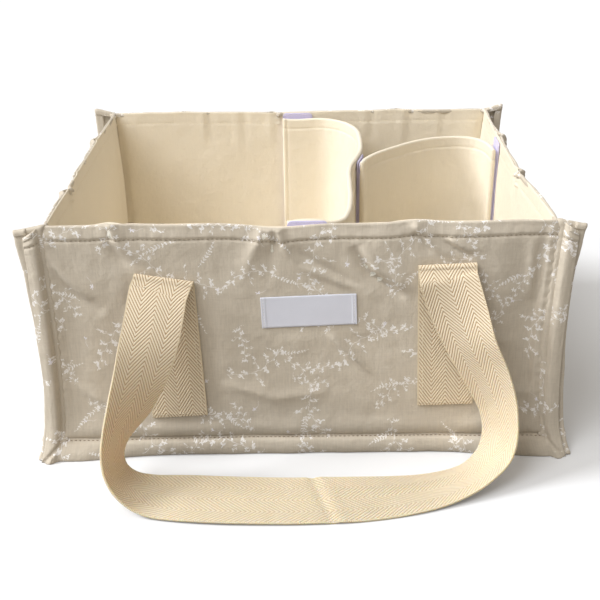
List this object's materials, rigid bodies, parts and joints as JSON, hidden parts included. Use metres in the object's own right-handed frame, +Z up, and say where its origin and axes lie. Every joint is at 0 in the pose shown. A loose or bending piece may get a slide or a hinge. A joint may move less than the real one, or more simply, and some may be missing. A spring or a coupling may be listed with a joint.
{
  "type": "portable storage basket",
  "caption": "Open fabric caddy with padded walls and base, webbing carrying handles, and padded dividers held by hook and loop tape that lift out.",
  "frame": {"origin": "On the floor, under the middle of the basket.", "axes": "Z is up. The front wall, which carries the label, faces -Y. +X is to the right seen from the front."},
  "size_m": [0.391, 0.4986, 0.18],
  "materials": {
    "printed_cotton": "matt woven cotton with a pale printed pattern",
    "cream_lining": "matt smooth cotton",
    "webbing": "matt herringbone webbing",
    "tape": "matt hook and loop pile",
    "label_cloth": "woven satin",
    "padding": "matt foam",
    "board": "matt board"
  },
  "bodies": {
    "basket": {"front_outer_panel": "printed_cotton", "back_outer_panel": "printed_cotton", "left_outer_panel": "printed_cotton", "right_outer_panel": "printed_cotton", "base_outer_tray": "printed_cotton", "front_foam": "padding", "back_foam": "padding", "left_foam": "padding", "right_foam": "padding", "base_board": "board", "base_foam": "padding", "base_lining": "cream_lining", "front_lining": "cream_lining", "back_lining": "cream_lining", "right_lining": "cream_lining", "left_lining": "cream_lining", "label": "label_cloth", "front_handle_left_end": "webbing", "front_handle_right_end": "webbing", "back_handle_right_end": "webbing", "back_handle_left_end": "webbing", "back_wall_loop_tape": "tape", "front_wall_loop_tape": "tape", "right_wall_loop_tape": "tape"},
    "front_handle": {"front_handle_loop": "webbing"},
    "back_handle": {"back_handle_loop": "webbing"},
    "long_divider": {"long_divider_sleeve": "cream_lining", "long_divider_core": "padding", "long_divider_back_hook_tape": "tape", "long_divider_front_hook_tape": "tape", "long_divider_loop_tape": "tape"},
    "cross_divider": {"cross_divider_sleeve": "cream_lining", "cross_divider_core": "padding", "cross_divider_left_hook_tape": "tape", "cross_divider_right_hook_tape": "tape"}
  },
  "joints": [
    {"name": "front_handle_fold", "type": "hinge", "parent": "basket", "child": "front_handle", "pos_m": [0.006, -0.16205, 0.143], "axis": [-1, 0, 0], "range_deg": [0, 135]},
    {"name": "back_handle_fold", "type": "hinge", "parent": "basket", "child": "back_handle", "pos_m": [-0.006, 0.16205, 0.143], "axis": [1, 0, 0], "range_deg": [0, 135]},
    {"name": "long_divider_lift", "type": "slide", "parent": "basket", "child": "long_divider", "axis": [0, 0, 1], "range_m": [0, 0.2]},
    {"name": "cross_divider_lift", "type": "slide", "parent": "basket", "child": "cross_divider", "axis": [0, 0, 1], "range_m": [0, 0.2]}
  ]
}
